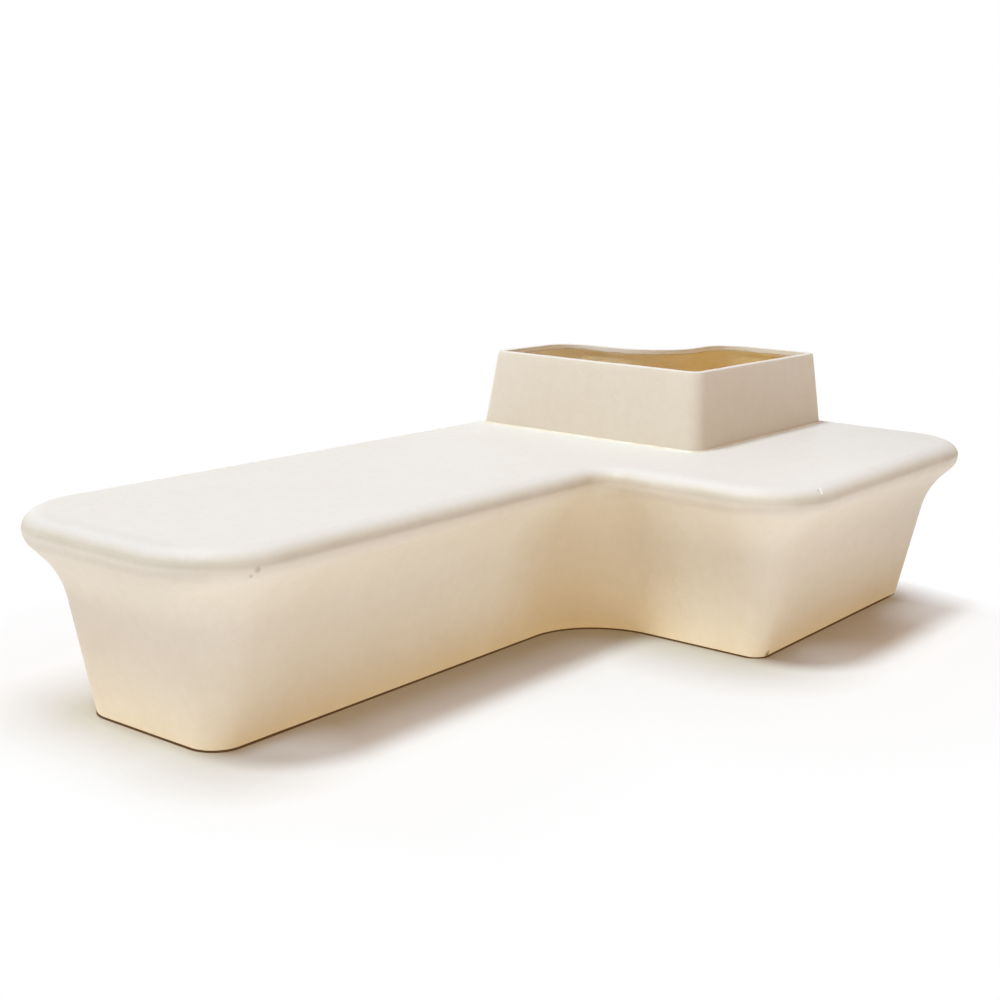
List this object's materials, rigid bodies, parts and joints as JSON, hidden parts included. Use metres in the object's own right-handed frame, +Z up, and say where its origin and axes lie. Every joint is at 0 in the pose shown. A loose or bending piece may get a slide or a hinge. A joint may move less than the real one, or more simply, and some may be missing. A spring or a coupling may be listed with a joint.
{
  "type": "bench with planter",
  "caption": "Moulded cream bench with a flared skirt, an L of seating round a raised corner planter, a laminate liner with drains, and levelling feet inside its foot.",
  "frame": {"origin": "on the ground under the middle of the overall length and depth", "axes": "+X along the long arm of the seat towards the planter end, +Y from the cross arm's front to the rear, +Z up"},
  "size_m": [2.4, 1.2, 0.65],
  "materials": {
    "gelcoat": "matt ivory gelcoat, fine orange-peel texture",
    "laminate": "raw amber glass-fibre laminate, rough",
    "sealant": "cream sealant bead",
    "plywood": "marine plywood, sealed",
    "galvanised": "hot-dip galvanised",
    "zinc_steel": "zinc plated",
    "drain_plastic": "black moulded plastic",
    "pad_plastic": "black glass-filled nylon",
    "gasket_rubber": "black rubber"
  },
  "bodies": {
    "bench": {"bench_shell": "gelcoat", "planter_surround": "gelcoat", "planter_liner": "laminate", "planter_seal": "sealant", "seat_core_long": "plywood", "seat_core_link": "plywood", "seat_core_front": "plywood", "frame_rail_rear": "galvanised", "frame_rail_front": "galvanised", "frame_cross_rails": "galvanised", "frame_arm_left": "galvanised", "frame_arm_front": "galvanised", "frame_arm_right": "galvanised", "frame_planter_rail": "galvanised", "frame_leg_left_front": "galvanised", "frame_leg_left_rear": "galvanised", "frame_leg_middle_front": "galvanised", "frame_leg_middle_rear": "galvanised", "frame_leg_arm_front": "galvanised", "frame_leg_right_front": "galvanised", "frame_short_legs": "galvanised", "cradle_left": "galvanised", "cradle_front": "galvanised", "cradle_right": "galvanised", "cradle_bearers": "galvanised", "cradle_lobe_bearer": "galvanised", "cradle_post": "galvanised", "core_cleats": "galvanised", "core_screws": "zinc_steel", "leg_end_plates": "galvanised", "leg_nuts": "zinc_steel", "drain_bodies": "drain_plastic", "drain_gaskets": "gasket_rubber", "drain_nuts": "drain_plastic", "drain_grates": "drain_plastic"},
    "pad_left_front": {"foot_pad_left_front": "pad_plastic", "foot_sole_left_front": "gasket_rubber"},
    "stud_left_front": {"foot_stud_left_front": "zinc_steel"},
    "pad_left_rear": {"foot_pad_left_rear": "pad_plastic", "foot_sole_left_rear": "gasket_rubber"},
    "stud_left_rear": {"foot_stud_left_rear": "zinc_steel"},
    "pad_middle_front": {"foot_pad_middle_front": "pad_plastic", "foot_sole_middle_front": "gasket_rubber"},
    "stud_middle_front": {"foot_stud_middle_front": "zinc_steel"},
    "pad_middle_rear": {"foot_pad_middle_rear": "pad_plastic", "foot_sole_middle_rear": "gasket_rubber"},
    "stud_middle_rear": {"foot_stud_middle_rear": "zinc_steel"},
    "pad_arm_front": {"foot_pad_arm_front": "pad_plastic", "foot_sole_arm_front": "gasket_rubber"},
    "stud_arm_front": {"foot_stud_arm_front": "zinc_steel"},
    "pad_right_front": {"foot_pad_right_front": "pad_plastic", "foot_sole_right_front": "gasket_rubber"},
    "stud_right_front": {"foot_stud_right_front": "zinc_steel"},
    "pad_lobe_rear": {"foot_pad_lobe_rear": "pad_plastic", "foot_sole_lobe_rear": "gasket_rubber"},
    "stud_lobe_rear": {"foot_stud_lobe_rear": "zinc_steel"},
    "pad_lobe_right": {"foot_pad_lobe_right": "pad_plastic", "foot_sole_lobe_right": "gasket_rubber"},
    "stud_lobe_right": {"foot_stud_lobe_right": "zinc_steel"}
  },
  "joints": [
    {"name": "extend_left_front", "type": "slide", "parent": "bench", "child": "pad_left_front", "axis": [0, 0, 1], "range_m": [-0.02, 0]},
    {"name": "turn_left_front", "type": "hinge", "parent": "pad_left_front", "child": "stud_left_front", "pos_m": [-0.98708, 0.13292, 0.03], "axis": [0, 0, 1], "range_deg": [-4120, 0]},
    {"name": "extend_left_rear", "type": "slide", "parent": "bench", "child": "pad_left_rear", "axis": [0, 0, 1], "range_m": [-0.02, 0]},
    {"name": "turn_left_rear", "type": "hinge", "parent": "pad_left_rear", "child": "stud_left_rear", "pos_m": [-0.98708, 0.38708, 0.03], "axis": [0, 0, 1], "range_deg": [-4120, 0]},
    {"name": "extend_middle_front", "type": "slide", "parent": "bench", "child": "pad_middle_front", "axis": [0, 0, 1], "range_m": [-0.02, 0]},
    {"name": "turn_middle_front", "type": "hinge", "parent": "pad_middle_front", "child": "stud_middle_front", "pos_m": [0.381, 0.13292, 0.03], "axis": [0, 0, 1], "range_deg": [-4120, 0]},
    {"name": "extend_middle_rear", "type": "slide", "parent": "bench", "child": "pad_middle_rear", "axis": [0, 0, 1], "range_m": [-0.02, 0]},
    {"name": "turn_middle_rear", "type": "hinge", "parent": "pad_middle_rear", "child": "stud_middle_rear", "pos_m": [0.381, 0.38708, 0.03], "axis": [0, 0, 1], "range_deg": [-4120, 0]},
    {"name": "extend_arm_front", "type": "slide", "parent": "bench", "child": "pad_arm_front", "axis": [0, 0, 1], "range_m": [-0.02, 0]},
    {"name": "turn_arm_front", "type": "hinge", "parent": "pad_arm_front", "child": "stud_arm_front", "pos_m": [0.29292, -0.38708, 0.03], "axis": [0, 0, 1], "range_deg": [-4120, 0]},
    {"name": "extend_right_front", "type": "slide", "parent": "bench", "child": "pad_right_front", "axis": [0, 0, 1], "range_m": [-0.02, 0]},
    {"name": "turn_right_front", "type": "hinge", "parent": "pad_right_front", "child": "stud_right_front", "pos_m": [0.98708, -0.38708, 0.03], "axis": [0, 0, 1], "range_deg": [-4120, 0]},
    {"name": "extend_lobe_rear", "type": "slide", "parent": "bench", "child": "pad_lobe_rear", "axis": [0, 0, 1], "range_m": [-0.02, 0]},
    {"name": "turn_lobe_rear", "type": "hinge", "parent": "pad_lobe_rear", "child": "stud_lobe_rear", "pos_m": [0.63508, 0.38708, 0.03], "axis": [0, 0, 1], "range_deg": [-4120, 0]},
    {"name": "extend_lobe_right", "type": "slide", "parent": "bench", "child": "pad_lobe_right", "axis": [0, 0, 1], "range_m": [-0.02, 0]},
    {"name": "turn_lobe_right", "type": "hinge", "parent": "pad_lobe_right", "child": "stud_lobe_right", "pos_m": [0.98708, 0.05008, 0.03], "axis": [0, 0, 1], "range_deg": [-4120, 0]}
  ],
  "couplings": [
    {"joint": "turn_left_front", "follows": "extend_left_front", "rad_per_m": 3590.4},
    {"joint": "turn_left_rear", "follows": "extend_left_rear", "rad_per_m": 3590.4},
    {"joint": "turn_middle_front", "follows": "extend_middle_front", "rad_per_m": 3590.4},
    {"joint": "turn_middle_rear", "follows": "extend_middle_rear", "rad_per_m": 3590.4},
    {"joint": "turn_arm_front", "follows": "extend_arm_front", "rad_per_m": 3590.4},
    {"joint": "turn_right_front", "follows": "extend_right_front", "rad_per_m": 3590.4},
    {"joint": "turn_lobe_rear", "follows": "extend_lobe_rear", "rad_per_m": 3590.4},
    {"joint": "turn_lobe_right", "follows": "extend_lobe_right", "rad_per_m": 3590.4}
  ]
}
